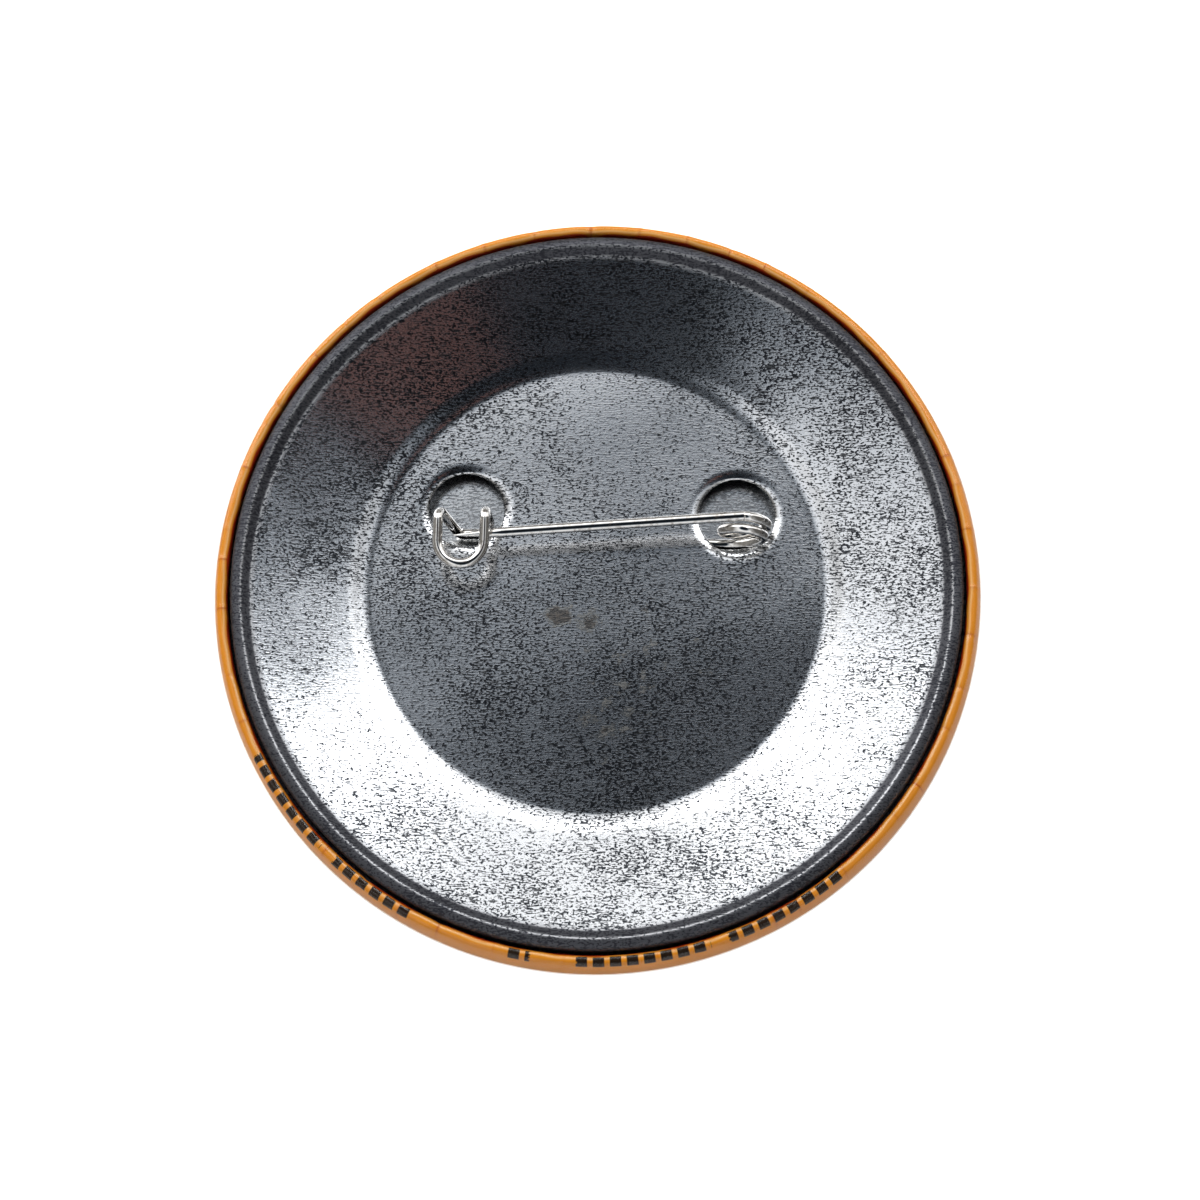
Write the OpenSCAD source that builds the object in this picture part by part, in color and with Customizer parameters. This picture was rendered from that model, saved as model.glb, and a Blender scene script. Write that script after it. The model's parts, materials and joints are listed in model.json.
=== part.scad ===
// Button badge, lying face down: domed front at the bottom, pin at the top.
// The origin is the lowest point of the front face, +Z points to the pin side,
// +X runs from the catch to the spring coil and +Y points to the badge's top.

/* [Badge] */
// Diameter over the rolled rim
badge_d = 75; // [66:0.5:90]
// Height of the rolled rim above the front face
rim_z = 8.0; // [7.6:0.1:8.6]
// Radius of the nearly flat middle of the front face
flat_r = 8; // [2:0.5:12]
// Radius of the shoulder between the front face and the side
shoulder_r = 3; // [2.6:0.1:3.4]
// Radius of the side above its widest line
side_r = 7.4; // [6.8:0.1:8]
// Outer radius of the fold at the top of the rim
fold_r = 0.6; // [0.55:0.01:0.65]
// Width of the rolled rim outside the back plate
rim_w = 1.95; // [1.85:0.05:2.05]
// Gap between the fold and the back plate's edge bead
rim_gap = 0.25; // [0.2:0.01:0.3]

/* [Layers of the front] */
// Thickness of the clear film
film_t = 0.1; // [0.05:0.01:0.12]
// Thickness of the printed paper
paper_t = 0.14; // [0.08:0.01:0.15]
// Thickness of the tinplate front shell
shell_t = 0.23; // [0.2:0.01:0.25]
// Air between two layers
layer_gap = 0.01; // [0.005:0.005:0.02]

/* [Back plate] */
// Thickness of the back plate
plate_t = 0.3; // [0.25:0.01:0.35]
// Height of the recessed middle of the plate
disc_z = 5.8; // [5.6:0.1:6.2]
// Radius of the recessed middle
recess_r = 22; // [20.8:0.1:24]
// Height of the edge bead's crest
crest_z = 8.7; // [8.4:0.1:9.2]
// Radius of each wire hole
hole_r = 3.7; // [3.65:0.05:4]
// Distance of the catch's hole to the left of the badge's centre
catch_hole_x = 13; // [12.8:0.05:13.4]
// Distance of the coil's hole to the right of the badge's centre
coil_hole_x = 13.55; // [13.4:0.05:13.7]
// Distance of both wire holes above the badge's centre
hole_y = 7.7; // [7.65:0.05:7.8]

/* [Retainer pan] */
// Radius of the pan that closes the wire's chamber
pan_r = 20.4; // [18:0.1:20.6]
// Height of the pan's underside
pan_z = 3.15; // [2.6:0.05:4.1]

/* [Pin wire] */
// Diameter of the pin wire
wire_d = 1.0; // [0.8:0.05:1]
// Length of the needle from its root to its point
needle_l = 28.2; // [27.8:0.1:28.6]
// Length of the needle's point
point_l = 4.7; // [4:0.1:5]
// Mean radius of the spring coil's first turn
coil_r = 2.4; // [2.3:0.05:2.5]
// Distance between the turns of the spring coil
coil_pitch = 1.12; // [1.1:0.01:1.15]
// Distance between the catch's two legs
catch_w = 4.54; // [4:0.02:5]

/* [Needle hinge] */
// Tilt of the hinge axis above the needle
hinge_tilt = 28; // [24:1:32]

/* [Hidden] */
$fn = 96;

wire_r = wire_d / 2;

// Front: crown arc, shoulder, side and fold, each tangent to the next
badge_r = badge_d / 2;
plate_r = badge_r - rim_w;
side_c = badge_r - side_r;
fold_x = plate_r + rim_gap + fold_r;
fold_a = acos((fold_x - side_c) / (side_r - fold_r));
wide_z = rim_z - fold_r - (side_r - fold_r) * sin(fold_a);
fold_z = rim_z - fold_r;
shoulder_x = badge_r - shoulder_r;
crown_w = shoulder_x - flat_r;
crown_r = (pow(crown_w, 2) + pow(wide_z, 2) - pow(shoulder_r, 2)) / (2 * (wide_z - shoulder_r));
join_a = atan2(wide_z - crown_r, crown_w);
// Depth of each layer's outer face under the front face
paper_d = film_t + layer_gap;
shell_d = paper_d + paper_t + layer_gap;
// Heights where the tucked edges of film, paper and shell end inside the rim
film_end = rim_z - 1.65;
paper_end = rim_z - 1.5;
shell_end = rim_z - 1.1;

// Back plate: recess, step, sloping ring, bead and tucked flange
step_w = 2.4;
step_h = 0.5;
bead_w = 1.0;
foot_w = 1.05;
crest_r = plate_r - bead_w;
foot_r = crest_r - foot_w;
foot_z = crest_z - 0.7;
flange_r = plate_r + 0.8;
flange_z = film_end - 0.3;
flange_bend = 0.3;
ring_slope = (foot_z - disc_z - step_h) / (foot_r - recess_r - step_w);

// Spring coil: a turn and a fifth, then a tail that dives through the hole
coil_x = 14.2;
coil_y = 6.6;
coil_z = 7.4;
coil_shrink = 0.38;
coil_drop = 0.15;
coil_turns = 1.2;
root_gap = 0.04;
tail_pull = [1.3, 1.9];
bar_z = disc_z - plate_t - 0.1 - wire_r;
coil_start = (wire_r + root_gap) / (2 * PI * coil_r);

// Needle: from its root ball at the top of the coil to the catch
root = [coil_x, coil_y, coil_z + coil_r];
needle_turn = 5.2;
needle_dip = 0.4;
root_l = 3;
root_r = wire_r - 0.05;
point_r = 0.05;
needle_dir = [-cos(needle_dip) * cos(needle_turn), -cos(needle_dip) * sin(needle_turn), -sin(needle_dip)];
hinge_axis = unit(cos(hinge_tilt) * needle_dir + sin(hinge_tilt) * [0, 0, 1]);

// Catch: a wire loop whose right leg lies over the needle
catch_x = -13;
leg_y = 6.3;
turn_y = 1.0;
leg_bend = 0.9;
leg_rise = -0.08;
over_y = 4.3;
over_z = 10.95;
right_x = catch_x + catch_w / 2;
left_x = catch_x - catch_w / 2;
bar_end = [-12, 5.45, bar_z];

function unit(v) = v / norm(v);
function reversed(list) = [for (i = [len(list) - 1:-1:0]) list[i]];
function smooth(u) = u * u * (3 - 2 * u);
function arc(c, r, a0, a1, n) =
    [for (i = [0:n]) let (a = a0 + (a1 - a0) * i / n) c + r * [cos(a), sin(a)]];

// Profile of the front at a depth under its outer face, down to its tucked edge
function front_line(depth, end_z) = concat(
    [[0, depth]],
    arc([flat_r, crown_r], crown_r - depth, -90, join_a, 14),
    arc([shoulder_x, wide_z], shoulder_r - depth, join_a, 0, 12),
    arc([side_c, wide_z], side_r - depth, 0, fold_a, 4),
    arc([fold_x, fold_z], fold_r - depth, fold_a, 180, 12),
    [[fold_x - fold_r + depth, end_z]]);

// One layer of the front, turned about the badge's axis
module front_layer(depth, thick, end_z) {
    rotate_extrude()
        polygon(without_repeats(concat(front_line(depth, end_z),
                                       reversed(front_line(depth + thick, end_z)))));
}

function without_repeats(list) =
    [for (i = [0:len(list) - 1]) if (i == 0 || norm(list[i] - list[i - 1]) > 1e-6) list[i]];

// Height of the step: it leaves the middle level and meets the ring at the ring's slope
function step_at(u) = disc_z + step_h * smooth(u) + ring_slope * step_w * (u - 1) * u * u;

// Upper face of the back plate from its middle to the tucked flange
function plate_line() = without_repeats(concat(
    [[0, disc_z], [recess_r, disc_z]],
    [for (i = [1:8]) [recess_r + step_w * i / 8, step_at(i / 8)]],
    [[foot_r, foot_z]],
    [for (i = [1:8]) [foot_r + (crest_r - foot_r) * i / 8, foot_z + (crest_z - foot_z) * smooth(i / 8)]],
    arc([crest_r, crest_z - bead_w], bead_w, 90, 0, 10),
    arc([plate_r + flange_bend, flange_z + flange_bend], flange_bend, 180, 270, 4),
    [[flange_r, flange_z]]));

// Direction of a line at point i, and the line moved sideways by t
function heading(p, i) = unit(p[min(i + 1, len(p) - 1)] - p[max(i - 1, 0)]);
function beside(p, t) = [for (i = [0:len(p) - 1]) let (h = heading(p, i)) p[i] + t * [h[1], -h[0]]];

// Round corners: each inner point of a route becomes an arc of its own radius
function corner(a, b, c, r, n) =
    let (u = unit(a - b), v = unit(c - b), half = acos(u * v) / 2,
         m = b + unit(u + v) * r / sin(half), p = b + u * r / tan(half), q = b + v * r / tan(half),
         x = unit(p - m), y = unit((q - m) - ((q - m) * x) * x), sweep = 180 - 2 * half)
    [for (i = [0:n]) let (w = sweep * i / n) m + r * (cos(w) * x + sin(w) * y)];
function rounded(route, radii, n) = concat(
    [route[0]],
    [for (i = [1:len(route) - 2]) each corner(route[i - 1], route[i], route[i + 1], radii[i - 1], n)],
    [route[len(route) - 1]]);

// Rings of a round wire along a path, each turned as little as possible
function tangents(p) = [for (i = [0:len(p) - 1]) heading(p, i)];
function sides(t, first) =
    [for (i = 0, s = unit(first - (first * t[0]) * t[0]); i < len(t);
          i = i + 1, s = i < len(t) ? unit(s - (s * t[i]) * t[i]) : s) s];
module wire(path, r, first, n = 12) {
    t = tangents(path);
    s = sides(t, first);
    last = len(path) - 1;
    points = [for (i = [0:last]) for (k = [0:n - 1])
        path[i] + r * (cos(360 * k / n) * s[i] + sin(360 * k / n) * cross(t[i], s[i]))];
    walls = [for (i = [0:last - 1]) for (k = [0:n - 1])
        let (a = i * n + k, b = i * n + (k + 1) % n) each [[a, a + n, b], [b, a + n, b + n]]];
    polyhedron(concat(points, [path[0], path[last]]), concat(
        walls,
        [for (k = [0:n - 1]) [k, (k + 1) % n, (last + 1) * n]],
        [for (k = [0:n - 1]) [last * n + (k + 1) % n, last * n + k, (last + 1) * n + 1]]));
}

// Middle line of the coil after a number of turns from its top
function coil_at(turns) =
    let (r = coil_r - coil_shrink * min(turns, 1), a = 360 * turns)
    [coil_x + r * sin(a), coil_y - coil_pitch * turns, coil_z - coil_drop * turns + r * cos(a)];
bar_start = [coil_x - 1.8, coil_y - 1.64, bar_z];
// Cubic curve from the coil's end down to the bar, tangent to both
tail_from = coil_at(coil_turns);
tail_a = tail_from + tail_pull[0] * unit(tail_from - coil_at(coil_turns - 0.001));
tail_b = bar_start + tail_pull[1] * unit(bar_start - bar_end);
function tail_at(u) = pow(1 - u, 3) * tail_from + 3 * pow(1 - u, 2) * u * tail_a
                      + 3 * (1 - u) * u * u * tail_b + pow(u, 3) * bar_start;
function coil_path() = concat(
    [for (i = [0:44]) coil_at(coil_start + (coil_turns - coil_start) * i / 44)],
    [for (i = [1:12]) tail_at(i / 12)]);

// Middle line of the catch: out of the left hole, round the loop, into the hole
function leg_z(y) = over_z + leg_rise * (over_y - y);
function catch_path() = rounded(
    [bar_end,
     [left_x + 1.6, 5.4, bar_z],
     [left_x, leg_y, leg_z(leg_y)],
     [left_x, turn_y, leg_z(turn_y)],
     [right_x, turn_y, leg_z(turn_y)],
     [right_x, leg_y, leg_z(leg_y)],
     [right_x, leg_y + 0.35, bar_z]],
    [leg_bend, leg_bend, catch_w / 2 - 0.01, catch_w / 2 - 0.01, leg_bend], 8);

// Round bar between two points
module rod(from, to, r) {
    d = to - from;
    translate(from)
        rotate([0, acos(d[2] / norm(d)), atan2(d[1], d[0])])
            cylinder(h = norm(d), r = r);
}

module clear_film() {
    color([0.96, 0.80, 0.55, 0.5]) front_layer(0, film_t, film_end);
}

module artwork_paper() {
    color([0.88, 0.58, 0.20]) front_layer(paper_d, paper_t, paper_end);
}

module front_shell() {
    color([0.72, 0.73, 0.75]) front_layer(shell_d, shell_t, shell_end);
}

module back_plate() {
    color([0.50, 0.53, 0.57])
        difference() {
            rotate_extrude() polygon(concat(plate_line(), reversed(beside(plate_line(), plate_t))));
            for (x = [-catch_hole_x, coil_hole_x])
                translate([x, hole_y, disc_z - 1]) cylinder(h = 2, r = hole_r);
        }
}

// Shallow pan under the plate: it closes the chamber that the wire lies in
module retainer_pan() {
    under = disc_z - plate_t;
    color([0.60, 0.62, 0.64])
        rotate_extrude()
            polygon([[0, pan_z], [pan_r, pan_z], [pan_r, under], [pan_r - plate_t, under],
                     [pan_r - plate_t, pan_z + plate_t], [0, pan_z + plate_t]]);
}

module spring_coil() {
    color([0.80, 0.80, 0.78]) wire(coil_path(), wire_r, [0, 1, 0]);
}

module under_bar() {
    color([0.80, 0.80, 0.78]) rod(bar_start, bar_end, wire_r);
}

module catch_loop() {
    color([0.80, 0.80, 0.78]) wire(catch_path(), wire_r, [0, 0, 1]);
}

// Root ball, slightly slimmer root, straight shaft and point, on one axis
module needle() {
    color([0.80, 0.80, 0.78])
        translate(root)
            rotate([0, acos(needle_dir[2]), atan2(needle_dir[1], needle_dir[0])]) {
                sphere(r = wire_r);
                cylinder(h = root_l, r1 = root_r, r2 = wire_r);
                translate([0, 0, root_l]) cylinder(h = needle_l - point_l - root_l, r = wire_r);
                translate([0, 0, needle_l - point_l]) cylinder(h = point_l, r1 = wire_r, r2 = point_r);
            }
}

clear_film();
artwork_paper();
front_shell();
back_plate();
retainer_pan();
spring_coil();
under_bar();
catch_loop();
needle();
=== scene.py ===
import json
import math

import bmesh
import bpy
import numpy as np
from mathutils import Matrix, Vector


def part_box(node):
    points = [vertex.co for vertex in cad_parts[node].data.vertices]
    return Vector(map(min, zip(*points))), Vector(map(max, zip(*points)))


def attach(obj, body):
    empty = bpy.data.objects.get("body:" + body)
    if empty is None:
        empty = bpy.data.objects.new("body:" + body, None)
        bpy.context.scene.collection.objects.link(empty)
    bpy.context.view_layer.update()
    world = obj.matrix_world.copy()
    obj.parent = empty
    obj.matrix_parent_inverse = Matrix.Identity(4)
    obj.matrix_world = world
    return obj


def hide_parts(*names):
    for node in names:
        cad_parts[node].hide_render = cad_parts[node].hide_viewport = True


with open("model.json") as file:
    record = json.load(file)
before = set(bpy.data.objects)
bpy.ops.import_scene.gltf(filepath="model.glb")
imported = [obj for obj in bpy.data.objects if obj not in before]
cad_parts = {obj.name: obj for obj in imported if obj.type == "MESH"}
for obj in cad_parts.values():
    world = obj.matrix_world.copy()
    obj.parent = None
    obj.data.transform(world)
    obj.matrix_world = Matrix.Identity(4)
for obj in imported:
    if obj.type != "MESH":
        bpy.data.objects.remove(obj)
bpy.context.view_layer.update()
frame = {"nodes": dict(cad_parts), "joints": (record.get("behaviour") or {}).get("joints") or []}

# ---------------------------------------------------------------- front shell
# The domed front is pressed from 0.23 mm tinplate and curled in at the rim. It is
# hidden under the film and paper, so the CAD piece stays, in plain tinplate.

MM = 0.001


def linear(code):
    """The sRGB hex colour as linear RGBA: each channel is undone from its gamma."""
    c = np.array([int(code[i:i + 2], 16) for i in (1, 3, 5)]) / 255
    c = np.where(c <= 0.04045, c / 12.92, ((c + 0.055) / 1.055) ** 2.4)
    return (*c.tolist(), 1.0)


def new_material(name):
    """A material without nodes, and its node tree."""
    material = bpy.data.materials.new(name)
    material.use_nodes = True
    material.node_tree.nodes.clear()
    return material, material.node_tree


def add(tree, kind, inputs=None):
    """One node. Each entry is a socket to link, a property to set, or an input's value."""
    node = tree.nodes.new(kind)
    for key, value in (inputs or {}).items():
        if isinstance(value, bpy.types.NodeSocket):
            tree.links.new(value, node.inputs[key])
        elif isinstance(key, str) and hasattr(node, key):
            setattr(node, key, value)
        else:
            node.inputs[key].default_value = value
    return node


def attribute(tree, name):
    """The value that the mesh's points carry under this name, 0 if they carry none."""
    return add(tree, "ShaderNodeAttribute", {"attribute_name": name}).outputs["Fac"]


def noise(tree, place, size, detail, roughness=0.5):
    """Noise with cells of about this size, in the units of the place."""
    return add(tree, "ShaderNodeTexNoise", {
        "Scale": 1 / size, "Detail": detail, "Roughness": roughness,
        "Vector": place}).outputs["Fac"]


def combined(tree, operation, first, second):
    """Two values put together by one math operation."""
    return add(tree, "ShaderNodeMath",
               {"operation": operation, 0: first, 1: second}).outputs["Value"]


def mapped(tree, value, from_min, from_max, to_min=0.0, to_max=1.0, ease="LINEAR"):
    """A value's range moved to another range and held at its ends."""
    return add(tree, "ShaderNodeMapRange", {
        "interpolation_type": ease, "From Min": from_min, "From Max": from_max,
        "To Min": to_min, "To Max": to_max, "Value": value}).outputs["Result"]


def blended(tree, share, first, second, how="MIX"):
    """Colour that goes from the first to the second as the share goes from 0 to 1."""
    first, second = (linear(c) if isinstance(c, str) else c for c in (first, second))
    return add(tree, "ShaderNodeMix", {"data_type": "RGBA", "blend_type": how,
                                       0: share, 6: first, 7: second}).outputs[2]


def bumped(tree, height, strength, deep_mm):
    """Normal of a surface with this much relief."""
    return add(tree, "ShaderNodeBump", {
        "Strength": strength, "Distance": deep_mm * MM, "Height": height}).outputs["Normal"]


def tinplate(name, clean, grained, dashed, grain_mm, dull=None):
    """Cold-rolled tinplate: steel strip with a bright tin coat.

    Rolling leaves short dark dashes along X, and the coat is broken by dark grains, so a
    reflection is soft and speckled. The points' "coat" is below 0 where the marks are fewer,
    "wet" is over 0 where drops have dried on it, and "band" is 1 where the colour goes to the
    dark colour dull as painted shade and the surface is rougher, less along a painted highlight."""
    material, tree = new_material(name)
    place = add(tree, "ShaderNodeTexCoord").outputs["Object"]
    fine = 1 / (grain_mm * MM)

    def stretched(ratio):
        """Space whose unit is one grain across Y, and ratio grains along X and Z."""
        return add(tree, "ShaderNodeMapping", {
            "Scale": (fine / ratio, fine, fine / ratio), "Vector": place}).outputs["Vector"]

    dashes = noise(tree, stretched(6), 1.0, 1.0, 0.6)
    grains = noise(tree, stretched(1.6), 1.25, 1.0, 0.6)
    # Clouds of about 7 mm where the coat is thinner and the marks are denser
    clouds = noise(tree, place, 7 * MM, 3.0)
    spread = combined(tree, "ADD", mapped(tree, clouds, 0.35, 0.65, -0.035, 0.035),
                      attribute(tree, "coat"))
    dash_mask = mapped(tree, combined(tree, "ADD", dashes, spread), 0.56, 0.62, 0.0, 0.9)
    grain_mask = mapped(tree, combined(tree, "ADD", grains, spread), 0.53, 0.57)
    marks = combined(tree, "MAXIMUM", dash_mask, grain_mask)
    colour = blended(tree, dash_mask, blended(tree, grain_mask, clean, grained), dashed)
    # Dried spots, 0.5 to 2 mm across, leave a pale ring and a grey-brown middle
    drops = combined(tree, "ADD", noise(tree, place, 1.5 * MM, 5.0, 0.6), attribute(tree, "wet"))
    colour = blended(tree, mapped(tree, drops, 0.74, 0.78, 0.0, 0.7), colour, "#b9b7b2")
    colour = blended(tree, mapped(tree, drops, 0.85, 0.88, 0.0, 0.65), colour, "#665b52")
    rough = mapped(tree, marks, 0.0, 1.0, 0.15, 0.25)
    # Painted shade: where "band" is 1, the colour goes to the dark colour dull and the roughness
    # rises to 0.58
    if dull:
        band = attribute(tree, "band")
        colour = blended(tree, band, colour, blended(tree, marks, dull, "#3a3b41"))
        rough = add(tree, "ShaderNodeMix",
                    {"data_type": "FLOAT", 0: band, 2: rough, 3: 0.58}).outputs[0]
    normal = bumped(tree, combined(tree, "ADD", dashes, grains), 0.7, 0.008)
    surface = add(tree, "ShaderNodeBsdfPrincipled", {
        "Metallic": 1.0, "Base Color": colour, "Roughness": rough, "Normal": normal})
    add(tree, "ShaderNodeOutputMaterial", {"Surface": surface.outputs["BSDF"]})
    return material


def dress(name, material):
    """The CAD piece of this name, with another material."""
    materials = frame["nodes"][name].data.materials
    materials.clear()
    materials.append(material)


dress("front_shell", tinplate("Tinplate inside", "#b4b7ba", "#5c5f62", "#3a3c40", 0.2))

# ------------------------------------------------------------ artwork paper
# The artwork is a round sheet of coated paper, 0.14 mm thick, printed orange. The
# press folds it over the shell's rim, where it gathers in small pleats.

BADGE_R, RIM_Z = (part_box("clear_film")[1][i] / MM for i in (0, 2))
FLANGE_W = 0.8
PLATE_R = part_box("back_plate")[1][0] / MM - FLANGE_W
FLAT_R, SHOULDER_R, SIDE_R, FOLD_R, RIM_GAP = 8.0, 3.0, 7.4, 0.6, 0.25
FILM_T, PAPER_T, LAYER_GAP = 0.1, 0.14, 0.01
FILM_TUCK, PAPER_TUCK = 1.65, 1.5
OUTER_FOLD_ROWS, INNER_FOLD_ROWS = 16, 8
TURNS = np.linspace(0, 2 * np.pi, 1440, endpoint=False)
PLEATS = 46
TICK_W, TICK_PITCH, TICK_BLUR = 1.12, 1.65, 0.03
# How far outside the plate's edge the ticks start, the painted highlight line runs and the painted
# shade of the tuck ends
TICKS_OUT, FOLD_HIGHLIGHT_OUT, TUCK_SHADE_OUT = 0.55, 0.72, 0.5
# Zones of ticks on the outer side of the fold: start and end angle in degrees
TICK_ZONES = [(-151, -134), (-131, -117), (-101.5, -98), (-91, -71), (-68, -49)]


def arc(centre, radius, start, end, count):
    """Points on a circle: centre + radius (cos a, sin a), with a from start to end degrees."""
    a = np.radians(np.linspace(start, end, count))
    return np.stack([centre[0] + radius * np.cos(a), centre[1] + radius * np.sin(a)], 1)


def front_line(depth, end_z, fold_rows):
    """Half profile (r, z) of the front at a depth under its outer face: flat middle,
    crown, shoulder, side and fold, each an arc tangent to the next, then the tucked edge."""
    side_c, fold_x, fold_z = BADGE_R - SIDE_R, PLATE_R + RIM_GAP + FOLD_R, RIM_Z - FOLD_R
    fold_a = math.degrees(math.acos((fold_x - side_c) / (SIDE_R - FOLD_R)))
    wide_z = fold_z - (SIDE_R - FOLD_R) * math.sin(math.radians(fold_a))
    shoulder_x = BADGE_R - SHOULDER_R
    crown_w = shoulder_x - FLAT_R
    crown_r = (crown_w ** 2 + wide_z ** 2 - SHOULDER_R ** 2) / (2 * (wide_z - SHOULDER_R))
    join_a = math.degrees(math.atan2(wide_z - crown_r, crown_w))
    tuck_x = fold_x - FOLD_R + depth
    return np.concatenate([
        np.stack([np.linspace(0.4, FLAT_R, 3)[:-1], np.full(2, depth)], 1),
        arc((FLAT_R, crown_r), crown_r - depth, -90, join_a, 9)[:-1],
        arc((shoulder_x, wide_z), SHOULDER_R - depth, join_a, 0, 7)[:-1],
        arc((side_c, wide_z), SIDE_R - depth, 0, fold_a, 5)[:-1],
        arc((fold_x, fold_z), FOLD_R - depth, fold_a, 180, fold_rows),
        [[tuck_x, (fold_z + end_z) / 2], [tuck_x, end_z]]])


def bell(u):
    """A bell of height 1: exp(-u^2)."""
    return np.exp(-u ** 2)


def pleat_places(turn):
    """Random numbers for the pleats, and the angle from each of them to each turn."""
    rng = np.random.default_rng(7)
    at = (np.arange(PLEATS) + rng.uniform(-0.35, 0.35, PLEATS)) * 2 * np.pi / PLEATS
    return rng, (turn[:, None] - at + np.pi) % (2 * np.pi) - np.pi


def pleats(turn, from_fold):
    """Inward push (mm) of the pleats: a sum of narrow bells round the rim, each fading
    over its own length on both sides of the fold."""
    rng, away = pleat_places(turn)
    width = np.radians(rng.uniform(0.35, 0.8, PLEATS))
    deep = rng.uniform(0.03, 0.1, PLEATS) * rng.choice([1, -0.5], PLEATS)
    reach = rng.uniform(0.9, 2.4, PLEATS)
    return bell(from_fold[:, None] / reach) @ (deep * bell(away / width)).T


def fold_shade(turn, from_fold):
    """Strength (0 to 1) of the painted shade on a fine crease line across the fold at each pleat.
    """
    rng, away = pleat_places(turn)
    width = np.radians(rng.uniform(0.1, 0.22, PLEATS))
    strong = rng.uniform(0.2, 1, PLEATS)
    reach = rng.uniform(0.5, 1.3, PLEATS)
    return np.sum(strong * bell(away / width) * bell(from_fold[:, None] / reach), 1)


def front_points(depth, end_z, fold_rows):
    """Grid (row, turn, xyz) of the profile turned about Z and pushed in by the pleats,
    and each row's length along the profile."""
    line = front_line(depth, end_z, fold_rows)
    step = np.gradient(line, axis=0)
    step /= np.linalg.norm(step, axis=1)[:, None]
    length = np.concatenate([[0], np.cumsum(np.linalg.norm(np.diff(line, axis=0), axis=1))])
    push = pleats(TURNS, length - length[np.argmax(line[:, 1])])
    r = line[:, 0, None] - step[:, 1, None] * push
    z = line[:, 1, None] + step[:, 0, None] * push
    return np.stack([r * np.cos(TURNS), r * np.sin(TURNS), z], 2), length


def rings_to_faces(rows, columns, first=0):
    """Quads between neighbouring rings of a grid that closes on itself sideways."""
    i, k = np.meshgrid(np.arange(rows - 1), np.arange(columns), indexing="ij")
    a, b = i * columns + k, i * columns + (k + 1) % columns
    return (np.stack([a, b, b + columns, a + columns], 2) + first).reshape(-1, 4)


def piece(name, points, faces, material, smooth=True):
    """A mesh object at the origin from points in millimetres, its faces turned outwards
    if the volume that they enclose comes out negative."""
    mesh = bpy.data.meshes.new(name)
    mesh.from_pydata((points * MM).tolist(), [], faces)
    mesh.validate()
    mesh.materials.append(material)
    mesh.polygons.foreach_set("use_smooth", np.full(len(mesh.polygons), smooth))
    work = bmesh.new()
    work.from_mesh(mesh)
    bmesh.ops.remove_doubles(work, verts=work.verts, dist=1e-7)
    if work.calc_volume(signed=True) < 0:
        bmesh.ops.reverse_faces(work, faces=work.faces)
    work.to_mesh(mesh)
    work.free()
    made = bpy.data.objects.new(name, mesh)
    bpy.context.scene.collection.objects.link(made)
    return made


def mesh_points(made):
    """The x, y and z of the mesh's points, in millimetres."""
    flat = np.zeros(len(made.data.vertices) * 3)
    made.data.vertices.foreach_get("co", flat)
    return (flat.reshape(-1, 3) / MM).T


def point_values(made, name, values):
    """One value for each point of the mesh, for its material to read."""
    made.data.attributes.new(name, "FLOAT", "POINT").data.foreach_set("value", values)


def front_layer(name, depth, thick, end_z, material):
    """A closed shell: the outer grid, the inner grid and a fan over each middle. Its UV
    map runs round the rim and along the profile, in millimetres."""
    outer, out_length = front_points(depth, end_z, OUTER_FOLD_ROWS)
    inner, in_length = front_points(depth + thick, end_z, INNER_FOLD_ROWS)
    grid = np.concatenate([outer, inner[::-1]])
    rows, columns = grid.shape[:2]
    points = np.concatenate([grid.reshape(-1, 3), [[0, 0, depth], [0, 0, depth + thick]]])
    k = np.arange(columns)
    last = (rows - 1) * columns
    fans = np.stack([k, (k + 1) % columns, np.full(columns, rows * columns)], 1)
    ends = np.stack([last + (k + 1) % columns, last + k, np.full(columns, rows * columns + 1)], 1)
    faces = rings_to_faces(rows, columns).tolist() + fans.tolist() + ends.tolist()
    made = piece(name, points, faces, material)
    along = np.concatenate([out_length, in_length[::-1], [0, 0]])
    row_of = np.append(np.repeat(np.arange(rows), columns), [rows, rows + 1])
    turn_of = np.append(np.tile(TURNS, rows), [0, 0]) * BADGE_R
    loops = np.zeros(len(made.data.loops), int)
    made.data.loops.foreach_get("vertex_index", loops)
    starts = np.zeros(len(made.data.polygons), int)
    made.data.polygons.foreach_get("loop_start", starts)
    # A face across the seam is moved on by one whole turn, so it isn't smeared back
    u = turn_of[loops]
    whole = 2 * np.pi * BADGE_R
    face_of = np.searchsorted(starts, np.arange(len(loops)), side="right") - 1
    highest = np.maximum.reduceat(u, starts)[face_of]
    u = np.where(highest - u > whole / 2, u + whole, u)
    uv = made.data.uv_layers.new(name="RimMap")
    uv.data.foreach_set("uv", np.stack([u, along[row_of[loops]]], 1).ravel())
    return made


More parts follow.
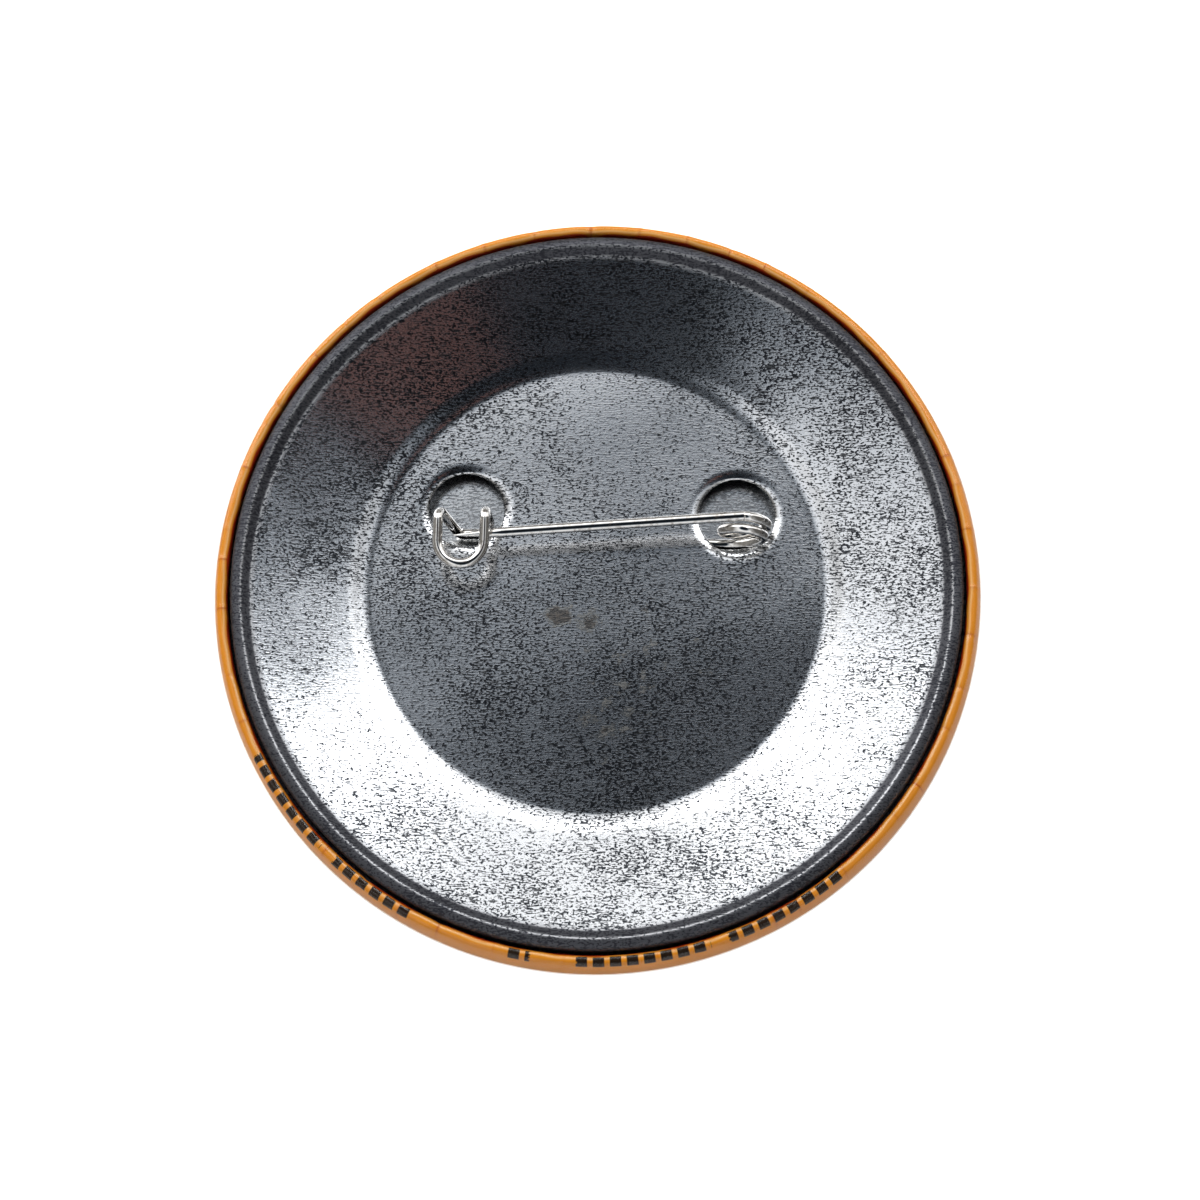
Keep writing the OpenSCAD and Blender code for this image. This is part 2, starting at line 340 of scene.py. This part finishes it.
def printed_paper():
    """Coated art paper, offset printed: an even orange with a faint fibre mottle, and
    plain black register ticks near the rim."""
    material, tree = new_material("Printed paper")
    place = add(tree, "ShaderNodeTexCoord")
    mottle = noise(tree, place.outputs["Object"], 1.6 * MM, 5.0)
    ink = blended(tree, mottle, "#e3992b", "#eca438")
    # Painted highlight: the ink is made pale along the top of the fold. Painted shade: it is made
    # dark red-brown in the tuck and along the fold's crease lines
    pale = blended(tree, attribute(tree, "crest"), ink, "#f6d9a4")
    shaded_ink = blended(tree, attribute(tree, "fold_shade"), pale, "#b4380e")
    # Ticks at an even pitch round the rim, inside the zones that the mesh marks
    round_rim = add(tree, "ShaderNodeSeparateXYZ", {0: place.outputs["UV"]}).outputs["X"]
    from_tick = add(tree, "ShaderNodeMath", {
        "operation": "PINGPONG", 0: round_rim, 1: TICK_PITCH / 2}).outputs["Value"]
    tick = mapped(tree, from_tick, TICK_W / 2 - TICK_BLUR, TICK_W / 2 + TICK_BLUR, 1.0, 0.0)
    zone = mapped(tree, attribute(tree, "ticks"), 0.45, 0.55)
    colour = blended(tree, combined(tree, "MULTIPLY", tick, zone), shaded_ink, "#241a14")
    surface = add(tree, "ShaderNodeBsdfPrincipled", {
        "Roughness": 0.5, "Specular IOR Level": 0.1, "Base Color": colour,
        "Normal": bumped(tree, mottle, 0.2, 0.01)})
    add(tree, "ShaderNodeOutputMaterial", {"Surface": surface.outputs["BSDF"]})
    return material


paper = front_layer("artwork_paper_print", FILM_T + LAYER_GAP, PAPER_T, RIM_Z - PAPER_TUCK,
                    printed_paper())
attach(paper, "badge")
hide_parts("artwork_paper")

x, y, z = mesh_points(paper)
turn, radius = np.arctan2(y, x), np.hypot(x, y)
in_zone = np.any([(np.degrees(turn) > start) & (np.degrees(turn) < end)
                  for start, end in TICK_ZONES], axis=0)
ticked = in_zone & (z > 7.05) & (radius > PLATE_R + TICKS_OUT)
point_values(paper, "ticks", ticked.astype(float))
# The painted highlight line on the fold and the painted shade at the tuck's edge wander a little
uneven = 0.05 * np.sin(turn * 23) + 0.04 * np.sin(turn * 61 + 1)
from_fold = 1.4 * (radius - PLATE_R - RIM_GAP - FOLD_R)
# Painted shade along the fold's crease lines, and in the gap where the paper is tucked under the
# rim
folded = 0.8 * fold_shade(turn % (2 * np.pi), from_fold) * (z > 6)
tucked = np.clip((PLATE_R + TUCK_SHADE_OUT + uneven - radius) / 0.1, 0, 1)
point_values(paper, "fold_shade", np.clip(folded + tucked, 0, 1))
fold_highlight_line = bell((radius - PLATE_R - FOLD_HIGHLIGHT_OUT - uneven) / 0.1)
point_values(paper, "crest", 0.7 * fold_highlight_line * (z > 7))

# --------------------------------------------------------------- clear film
# A 0.1 mm polyester film lies over the print and is folded in with it. It is clear,
# so all it adds is a thin, wet-looking gloss that breaks at the pleats.


def polyester_film():
    """Clear polyester film: see-through, with the gloss of a smooth plastic on top."""
    material, tree = new_material("Polyester film")
    place = add(tree, "ShaderNodeTexCoord").outputs["Object"]
    # Slow waves of about 5 mm, from the film's tension over the paper
    normal = bumped(tree, noise(tree, place, 5 * MM, 2.0), 0.25, 0.05)
    clear = add(tree, "ShaderNodeBsdfTransparent", {"Color": linear("#fffaf2")})
    gloss = add(tree, "ShaderNodeBsdfAnisotropic", {"Roughness": 0.12, "Normal": normal})
    # Only the outer face shines: inside the film a ray goes straight on
    edge_on = add(tree, "ShaderNodeFresnel", {"IOR": 1.5, "Normal": normal}).outputs["Fac"]
    inside = add(tree, "ShaderNodeNewGeometry").outputs["Backfacing"]
    shine = combined(tree, "MULTIPLY", edge_on, mapped(tree, inside, 0.0, 1.0, 1.0, 0.0))
    both = add(tree, "ShaderNodeMixShader", {
        0: shine, 1: clear.outputs["BSDF"], 2: gloss.outputs["BSDF"]})
    add(tree, "ShaderNodeOutputMaterial", {"Surface": both.outputs["Shader"]})
    return material


film = front_layer("clear_film_skin", 0.0, FILM_T, RIM_Z - FILM_TUCK, polyester_film())
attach(film, "badge")
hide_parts("clear_film")

# ------------------------------------------------------------- retainer pan
# A shallow pressed pan closes the wire's chamber under the plate. Only its grey floor
# shows, through the two wire holes.

dress("retainer_pan", tinplate("Tinplate pan", "#f0f1f2", "#9a9da0", "#85888c", 0.16))

# ----------------------------------------------------------------- pin wire
# The pin is one length of 1 mm nickel-plated spring wire: coil, bar under the plate
# and catch loop are bent in a former. These three are one piece here.

WIRE_R, WIRE_STEP, WIRE_SIDES = 0.5, 0.15, 28
ROOT = np.array(frame["joints"][0]["pos_m"]) / MM
PLATE_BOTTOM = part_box("retainer_pan")[1][2] / MM
BAR_Z = PLATE_BOTTOM - 0.1 - WIRE_R
COIL_R, COIL_PITCH, COIL_SHRINK, COIL_DROP, COIL_TURNS = 2.4, 1.12, 0.38, 0.15, 1.2
BAR_START = np.array([ROOT[0] - 1.8, ROOT[1] - 1.64, BAR_Z])
BAR_END = np.array([-12.0, 5.45, BAR_Z])
# How far the tail goes straight on from the coil, and comes straight up to the bar
TAIL_OFF, TAIL_ON = 1.3, 1.9
CATCH_LEFT, CATCH_RIGHT, CATCH_TOP, CATCH_TURN = -15.27, -10.73, 6.3, 1.0
# The catch rises toward +Y by CATCH_RISE per mm, and is CATCH_Z high at CATCH_Y
CATCH_Y, CATCH_Z, CATCH_RISE, CATCH_BEND_R = 4.3, 10.95, 0.08, 0.9


def coil_line(turns):
    """Middle of the coil: a helix about Y that shrinks and drops a little as it winds."""
    r = COIL_R - COIL_SHRINK * np.minimum(turns, 1)
    a = 2 * np.pi * turns
    return np.stack([ROOT[0] + r * np.sin(a), ROOT[1] - COIL_PITCH * turns,
                     ROOT[2] - COIL_R - COIL_DROP * turns + r * np.cos(a)], 1)


def tail_line(u):
    """Cubic curve from the coil's end down through the hole to the bar, tangent to both."""
    start, before = coil_line(np.array([COIL_TURNS, COIL_TURNS - 0.001]))
    off = start + TAIL_OFF * (start - before) / np.linalg.norm(start - before)
    on = BAR_START + TAIL_ON * (BAR_START - BAR_END) / np.linalg.norm(BAR_START - BAR_END)
    u = u[:, None]
    return ((1 - u) ** 3 * start + 3 * (1 - u) ** 2 * u * off
            + 3 * (1 - u) * u ** 2 * on + u ** 3 * BAR_START)


def bend(before, at, after, radius, count):
    """The corner at a point of the route as an arc of the given radius."""
    u = (before - at) / np.linalg.norm(before - at)
    v = (after - at) / np.linalg.norm(after - at)
    half = math.acos(u @ v) / 2
    middle = at + (u + v) / np.linalg.norm(u + v) * radius / math.sin(half)
    x = at + u * radius / math.tan(half) - middle
    y = at + v * radius / math.tan(half) - middle
    x /= np.linalg.norm(x)
    y = y - (y @ x) * x
    y /= np.linalg.norm(y)
    a = np.linspace(0, math.pi - 2 * half, count)[:, None]
    return middle + radius * (np.cos(a) * x + np.sin(a) * y)


def catch_line():
    """Middle of the catch: out of the left hole, round the loop and into the hole again."""
    def leg(x, y):
        """Point at the height of the catch's slope."""
        return np.array([x, y, CATCH_Z - CATCH_RISE * (CATCH_Y - y)])

    route = [BAR_END, np.array([CATCH_LEFT + 1.6, 5.4, BAR_Z]),
             leg(CATCH_LEFT, CATCH_TOP), leg(CATCH_LEFT, CATCH_TURN),
             leg(CATCH_RIGHT, CATCH_TURN), leg(CATCH_RIGHT, CATCH_TOP),
             np.array([CATCH_RIGHT, CATCH_TOP + 0.35, BAR_Z])]
    loop_r = (CATCH_RIGHT - CATCH_LEFT) / 2 - 0.01
    radii = [CATCH_BEND_R, CATCH_BEND_R, loop_r, loop_r, CATCH_BEND_R]
    bends = [bend(*route[i:i + 3], radii[i], 24) for i in range(5)]
    return np.concatenate([route[:1], *bends, route[-1:]])


def even_steps(line, step):
    """The line again, with points a fixed step apart."""
    length = np.concatenate([[0], np.cumsum(np.linalg.norm(np.diff(line, axis=0), axis=1))])
    keep = np.concatenate([[True], np.diff(length) > 1e-9])
    at = np.linspace(0, length[-1], int(length[-1] / step) + 1)
    return np.stack([np.interp(at, length[keep], line[keep, i]) for i in range(3)], 1)


def wire_tube(line, radius, sides):
    """Round tube along a line. Each ring's frame is the last one's, turned as little as
    the bend needs, so the tube's faces don't twist round it."""
    ahead = np.gradient(line, axis=0)
    ahead /= np.linalg.norm(ahead, axis=1)[:, None]
    side = np.zeros_like(line)
    now = np.cross(ahead[0], [0.0, 0.0, 1.0])
    for i, t in enumerate(ahead):
        now = now - (now @ t) * t
        now /= np.linalg.norm(now)
        side[i] = now
    up = np.cross(ahead, side)
    a = np.linspace(0, 2 * np.pi, sides, endpoint=False)
    return (line[:, None] + radius * (np.cos(a)[None, :, None] * side[:, None]
                                      + np.sin(a)[None, :, None] * up[:, None]))


def nickel_wire():
    """Nickel-plated spring wire: bright and warm grey, with small dull spots where the
    plating is thin."""
    material, tree = new_material("Nickel wire")
    place = add(tree, "ShaderNodeTexCoord").outputs["Object"]
    spots = noise(tree, place, 0.5 * MM, 4.0)
    dull = mapped(tree, spots, 0.5, 0.75)
    surface = add(tree, "ShaderNodeBsdfPrincipled", {
        "Metallic": 1.0, "Base Color": blended(tree, dull, "#e2e0dd", "#a39c94"),
        "Roughness": mapped(tree, dull, 0.0, 1.0, 0.05, 0.22),
        "Normal": bumped(tree, spots, 0.15, 0.01)})
    add(tree, "ShaderNodeOutputMaterial", {"Surface": surface.outputs["BSDF"]})
    return material


def closed_tube(name, rings, material):
    """Tube piece with a flat cap on each end."""
    rows, columns = rings.shape[:2]
    caps = [list(range(columns)), [(rows - 1) * columns + k for k in range(columns)][::-1]]
    faces = rings_to_faces(rows, columns)[:, ::-1].tolist() + caps
    return piece(name, rings.reshape(-1, 3), faces, material)


wire_line = np.concatenate([coil_line(np.linspace(0, COIL_TURNS, 200)),
                            tail_line(np.linspace(0, 1, 60))[1:], catch_line()])
nickel = nickel_wire()
pin = closed_tube("pin_wire", wire_tube(even_steps(wire_line, WIRE_STEP), WIRE_R, WIRE_SIDES),
                  nickel)
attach(pin, "badge")
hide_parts("spring_coil", "under_bar", "catch_loop")

# --------------------------------------------------------------- back plate
# The back is one pressing of 0.3 mm tinplate: a recessed middle with two punched wire
# holes, a sloping ring, and an edge bead whose flange is trapped under the rolled rim.

PLATE_T = 0.3
DISC_Z, CREST_Z = PLATE_BOTTOM + PLATE_T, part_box("back_plate")[1][2] / MM
RECESS_R, STEP_W, STEP_H = 22.0, 2.4, 0.5
BEAD_W, BEAD_H, FOOT_W = 1.0, 0.7, 1.05
CREST_R = PLATE_R - BEAD_W
FOOT_R, FOOT_Z = CREST_R - FOOT_W, CREST_Z - BEAD_H
FLANGE_DROP, FLANGE_BEND_R = 1.95, 0.3
HOLE_R, HOLE_Y, HOLE_XS = 3.7, 7.7, (-13.0, 13.55)
# How deep the sheet is drawn down at a hole's edge, and over what width, twice
HOLE_DIPS = [(0.2, 1.0), (0.13, 0.2)]
JOIN_R, SECTORS, SEAM_POINTS = 21.0, 360, 71
# Where the unevenness starts to fade out before the bead, and over what width
EVEN_R, EVEN_W = 33, 2
# Bells on the plate: x and y in mm, width squared, and height
COAT_PATCHES = [(-1, -29, 90, -0.015), (-1, 17, 90, -0.06), (-25, -15, 110, -0.07),
                (24, -15, 90, -0.05), (7, 11, 70, -0.06), (19, 4, 40, -0.06)]
WET_PATCHES = [(-4.1, -3.2, 0.9, 0.45), (-3.3, -2.7, 0.9, 0.45), (-0.4, -3, 1.4, 0.38),
               (5, -8, 60, 0.17), (1, -14, 12, 0.16)]


def smooth(u):
    """Eases from 0 to 1 with level ends: 3u^2 - 2u^3."""
    u = np.clip(u, 0, 1)
    return u * u * (3 - 2 * u)


def plate_line():
    """Half profile (r, z) of the plate's upper face, from the join with the middle out.
    The step is the cubic h(3u^2 - 2u^3) + s w (u^3 - u^2) that leaves the flat middle
    level and meets the ring at the ring's slope s."""
    ring_in, step_top = RECESS_R + STEP_W, DISC_Z + STEP_H
    slope = (FOOT_Z - step_top) / (FOOT_R - ring_in)
    u = np.linspace(0, 1, 20)
    step = DISC_Z + STEP_H * (3 * u ** 2 - 2 * u ** 3) + slope * STEP_W * (u ** 3 - u ** 2)
    ring_r = np.linspace(ring_in, FOOT_R, 22)[1:]
    bead_r = np.linspace(FOOT_R, CREST_R, 18)[1:]
    bead_z = FOOT_Z + (CREST_Z - FOOT_Z) * smooth((bead_r - FOOT_R) / (CREST_R - FOOT_R))
    flange_z = RIM_Z - FLANGE_DROP
    return np.concatenate([
        [[JOIN_R, DISC_Z], [JOIN_R + 0.5, DISC_Z]],
        np.stack([RECESS_R + STEP_W * u, step], 1),
        np.stack([ring_r, step_top + slope * (ring_r - ring_in)], 1),
        np.stack([bead_r, bead_z], 1),
        arc((CREST_R, CREST_Z - BEAD_W), BEAD_W, 90, 0, 14)[1:],
        arc((PLATE_R + FLANGE_BEND_R, flange_z + FLANGE_BEND_R), FLANGE_BEND_R, 180, 270, 6),
        [[PLATE_R + FLANGE_W, flange_z]]])


def waviness(x, y):
    """Slight unevenness of the pressing (mm): a sum of slow waves in fixed directions."""
    rng = np.random.default_rng(3)
    total = np.zeros_like(x)
    for length in (9, 13, 17, 24, 31):
        a, phase = rng.uniform(0, 2 * np.pi, 2)
        total += length * np.sin(2 * np.pi * (x * np.cos(a) + y * np.sin(a)) / length + phase)
    return 0.0007 * total


def half_disc(side, hole_x):
    """One half of the plate's middle: rays from the hole's edge to the rim of the half
    disc, with the sheet drawn down where the punch went in."""
    turn = side * np.linspace(-np.pi / 2, np.pi / 2, SECTORS // 2 + 1)
    curve = np.stack([side * JOIN_R * np.cos(turn), JOIN_R * np.sin(turn)], 1)
    seam_y = side * np.linspace(JOIN_R, -JOIN_R, SEAM_POINTS + 2)[1:-1]
    border = np.concatenate([curve, np.stack([np.zeros(SEAM_POINTS), seam_y], 1)])
    ray = border - [hole_x, HOLE_Y]
    reach = np.linalg.norm(ray, axis=1)
    ray /= reach[:, None]
    near = np.array([0, 0.03, 0.07, 0.12, 0.18, 0.26, 0.36, 0.48, 0.62, 0.8, 1.0, 1.25])
    far = np.linspace(0, 1, 14)[1:, None]
    start = HOLE_R + near[-1]
    out = np.concatenate([np.repeat(HOLE_R + near[:, None], len(ray), 1),
                          start + (reach - start) * far])
    x = hole_x + out * ray[:, 0]
    y = HOLE_Y + out * ray[:, 1]
    dip = sum(deep * np.clip(1 - (out - HOLE_R) / width, 0, 1) ** 2 for deep, width in HOLE_DIPS)
    return np.stack([x, y, DISC_Z - dip], 2)


def patches(x, y, rows):
    """Sum of round bells h exp(-((x - a)^2 + (y - b)^2) / w) for rows of a, b, w, h."""
    return sum(h * np.exp(-((x - a) ** 2 + (y - b) ** 2) / w) for a, b, w, h in rows)


line = plate_line()
around = np.linspace(-np.pi / 2, 1.5 * np.pi, SECTORS, endpoint=False)
outer = np.stack([line[:, 0, None] * np.cos(around), line[:, 0, None] * np.sin(around),
                  np.repeat(line[:, 1, None], SECTORS, 1)], 2)
points, faces = [], []
for grid in (half_disc(-1, HOLE_XS[0]), half_disc(1, HOLE_XS[1]), outer):
    faces += rings_to_faces(*grid.shape[:2], sum(len(p) for p in points)).tolist()
    points.append(grid.reshape(-1, 3))
points = np.concatenate(points)
fade = 1 - smooth((np.hypot(*points.T[:2]) - EVEN_R) / EVEN_W)
points[:, 2] += waviness(points[:, 0], points[:, 1]) * fade
# The last colour, #5a5b60, is the bead's painted shade
plate = piece("back_plate_pressing", points, faces,
              tinplate("Tinplate back", "#e1e3e6", "#2f3237", "#292c30", 0.14, "#5a5b60"))
solid = plate.modifiers.new("Sheet", "SOLIDIFY")
solid.thickness, solid.offset, solid.use_even_offset = PLATE_T * MM, -1, True

x, y = mesh_points(plate)[:2]
radius = np.hypot(x, y)
point_values(plate, "wet", patches(x, y, WET_PATCHES))
# Fewer dark marks, and so lighter tinplate, in some patches and along the ring's foot on the -Y
# side
ring_foot = -0.05 * bell((radius - 24.3) / 1.2) * (y < 0)
point_values(plate, "coat", patches(x, y, COAT_PATCHES) + ring_foot)
# Painted shade: the bead is made dark and rough all over, except for a painted highlight line
# along its ridge, which is a little lighter
bead = smooth((radius - FOOT_R + 0.15) / 0.4)
ridge_highlight = bell((radius - CREST_R + 0.12) / 0.1)
point_values(plate, "band", np.clip(bead - 0.48 * ridge_highlight, 0, 1))
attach(plate, "badge")
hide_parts("back_plate")

# ------------------------------------------------------------------- needle
# The needle is the free end of the same wire, ground to a point. It springs up about
# the coil, so its root is rounded where it turns.

NEEDLE_L, POINT_L = 28.2, 4.7
NEEDLE_TURN, NEEDLE_DIP = math.radians(5.2), math.radians(0.4)
NEEDLE_R, ROOT_R, POINT_R = 0.492, 0.495, 0.05
NEEDLE_DIR = -np.array([math.cos(NEEDLE_DIP) * math.cos(NEEDLE_TURN),
                        math.cos(NEEDLE_DIP) * math.sin(NEEDLE_TURN), math.sin(NEEDLE_DIP)])
ball = np.radians(np.linspace(4, 90, 12))
shaft_s = np.linspace(0, NEEDLE_L - POINT_L, 120)[1:]
point_s = np.linspace(0, 1, 40)[1:]
along = np.concatenate([-ROOT_R * np.cos(ball), shaft_s, NEEDLE_L - POINT_L + POINT_L * point_s])
width = np.concatenate([ROOT_R * np.sin(ball), np.full(len(shaft_s), NEEDLE_R),
                        POINT_R + (NEEDLE_R - POINT_R) * (1 - point_s ** 1.25)])
sideways = np.cross(NEEDLE_DIR, [0, 0, 1.0])
sideways /= np.linalg.norm(sideways)
upright = np.cross(NEEDLE_DIR, sideways)
spin = np.linspace(0, 2 * np.pi, WIRE_SIDES, endpoint=False)[:, None]
rings = (ROOT + along[:, None, None] * NEEDLE_DIR
         + width[:, None, None] * (np.cos(spin) * sideways + np.sin(spin) * upright))
needle = closed_tube("needle_shaft", rings, nickel)
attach(needle, "needle")
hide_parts("needle")

# ------------------------------------------------------- floor, lamps, camera
# A pale table under the badge, two soft boxes, and a sky that stands for the room: dark
# overhead, bright all round that, and dim again toward the horizon.

FLOOR_HALF_M, HORIZON = 3.0, 4
SKY_LEVELS = [(0.0, "#9fc0e4", 0.015), (0.95, "#a8c6e6", 0.03), (1.06, "#c0d4ea", 0.13),
              (1.17, "#dbe6f2", 0.42), (1.3, "#eef2f7", 0.8), (1.6, "#f8f9fb", 1.15),
              (2.0, "#fbfbfb", 0.9), (2.7, "#f8f4ee", 0.3), (4.0, "#f0ece6", 0.3)]
SHAPE_DOWN = math.radians(29)
CAMERA_FAR, CAMERA_TILT, CAMERA_TURN, CAMERA_ROLL = 0.275, 13.8, -80.6, -7.8
AIM_AT, SENSOR_MM, FOCAL_MM, SHIFT = (0, 0, 0.007), 36, 84.9, (0.0036, -0.0120)


def studio_floor():
    """Matt white table that shows as white, with the badge's shadow kept."""
    material, tree = new_material("Floor")
    seen = add(tree, "ShaderNodeLightPath").outputs["Is Camera Ray"]
    matt = add(tree, "ShaderNodeBsdfDiffuse", {"Color": linear("#eeeeee")})
    glow = add(tree, "ShaderNodeEmission", {"Color": (1, 1, 1, 1), "Strength": seen})
    both = add(tree, "ShaderNodeAddShader", {0: matt.outputs["BSDF"], 1: glow.outputs["Emission"]})
    add(tree, "ShaderNodeOutputMaterial", {"Surface": both.outputs["Shader"]})
    return material


square = np.array([[-1, -1, 0], [1, -1, 0], [1, 1, 0], [-1, 1, 0]])
floor = piece("floor", square * FLOOR_HALF_M / MM, [[0, 1, 2, 3]], studio_floor(), smooth=False)

world = bpy.data.worlds.new("Sky")
bpy.context.scene.world = world
world.use_nodes = True
sky = world.node_tree
sky.nodes.clear()
toward = add(sky, "ShaderNodeTexCoord").outputs["Generated"]


def closeness(direction):
    """Cosine of the angle between the place in the sky and a direction."""
    return add(sky, "ShaderNodeVectorMath", {
        "operation": "DOT_PRODUCT", 0: toward, 1: direction}).outputs["Value"]


# Brightness by the distance from a dark oval, a little off the zenith toward -Y: up to 1
# is inside the oval, 4 is at the horizon and is the ramp's end
oval = add(sky, "ShaderNodeVectorMath", {
    "operation": "SUBTRACT", 0: toward, 1: (0.05, -0.24, 0)}).outputs["Vector"]
scaled = add(sky, "ShaderNodeVectorMath", {
    "operation": "MULTIPLY", 0: oval, 1: (1 / 0.26, 1 / 0.47, 0)}).outputs["Vector"]
far = add(sky, "ShaderNodeVectorMath", {"operation": "LENGTH", 0: scaled}).outputs["Value"]
ramp = add(sky, "ShaderNodeValToRGB", {0: combined(sky, "MULTIPLY", far, 1 / HORIZON)})
levels = ramp.color_ramp.elements
while len(levels) < len(SKY_LEVELS):
    levels.new(0.5)
for level, (at, tint, strength) in zip(levels, SKY_LEVELS):
    level.position = at / HORIZON
    level.color = [c * strength for c in linear(tint)[:3]] + [1]
# A bright window band on the +Y side starts 17 degrees down and is gone 58 degrees down
axes = add(sky, "ShaderNodeSeparateXYZ", {0: toward})
window = combined(sky, "MULTIPLY",
                  mapped(sky, axes.outputs["Y"], 0.3, 0.4, 0.0, 2.8, "SMOOTHSTEP"),
                  mapped(sky, axes.outputs["Y"], 0.85, 0.68, ease="SMOOTHSTEP"))
brighter = blended(sky, 1.0, ramp.outputs["Color"], window, "ADD")
# A warm, dim patch, 8 degrees down on the +X side
warmth = mapped(sky, closeness((0.139, 0.035, 0.9897)), 0.996, 0.9994, ease="SMOOTHSTEP")
warm = blended(sky, warmth, brighter, (0.13, 0.04, 0.02, 1), "ADD")
# A dark shape in front of the bright sky, 29 degrees down on the +Y side, and a dimmer
# sky on the +X side from 19 degrees down
shape_at = Vector((-0.04, math.sin(SHAPE_DOWN), math.cos(SHAPE_DOWN))).normalized()
shade = mapped(sky, closeness(shape_at), 0.975, 0.992, 1.0, 0.3, "SMOOTHSTEP")
side_dim = mapped(sky, axes.outputs["X"], 0.32, 0.45, 1.0, 0.45, "SMOOTHSTEP")
shaded = blended(sky, 1.0, warm, combined(sky, "MULTIPLY", shade, side_dim), "MULTIPLY")
# The camera itself sees plain white
camera_ray = add(sky, "ShaderNodeLightPath").outputs["Is Camera Ray"]
backdrop = add(sky, "ShaderNodeBackground", {
    "Color": blended(sky, camera_ray, shaded, (1, 1, 1, 1))})
add(sky, "ShaderNodeOutputWorld", {"Surface": backdrop.outputs["Background"]})


def soft_box(name, place, size, watts):
    """A square soft box that faces the badge."""
    lamp = bpy.data.lights.new(name, "AREA")
    lamp.shape, lamp.size, lamp.size_y = "RECTANGLE", size, size
    lamp.energy = watts
    box = bpy.data.objects.new(name, lamp)
    bpy.context.scene.collection.objects.link(box)
    box.location = place
    box.rotation_euler = (-Vector(place)).to_track_quat("-Z", "Y").to_euler()


soft_box("soft_box_right", (0.30, 0.30, 0.42), 0.12, 0.16)
soft_box("soft_box_left", (-0.30, 0.30, 0.42), 0.14, 0.2)

# The camera looks down from 275 mm, 13.8 degrees off the vertical toward -Y
lens = bpy.data.cameras.new("camera")
lens.sensor_width, lens.lens = SENSOR_MM, FOCAL_MM
lens.shift_x, lens.shift_y = SHIFT
lens.clip_start, lens.clip_end = 0.01, 10
camera = bpy.data.objects.new("camera", lens)
bpy.context.scene.collection.objects.link(camera)
tilt, turn = math.radians(CAMERA_TILT), math.radians(CAMERA_TURN)
away = Vector((math.sin(tilt) * math.cos(turn), math.sin(tilt) * math.sin(turn), math.cos(tilt)))
camera.location = Vector(AIM_AT) + away * CAMERA_FAR
camera.rotation_mode = "QUATERNION"
look = (-away).to_track_quat("-Z", "Y")
roll = Matrix.Rotation(math.radians(CAMERA_ROLL), 3, "Z").to_quaternion()
camera.rotation_quaternion = look @ roll
bpy.context.scene.camera = camera
bpy.context.scene.view_settings.view_transform = "Standard"
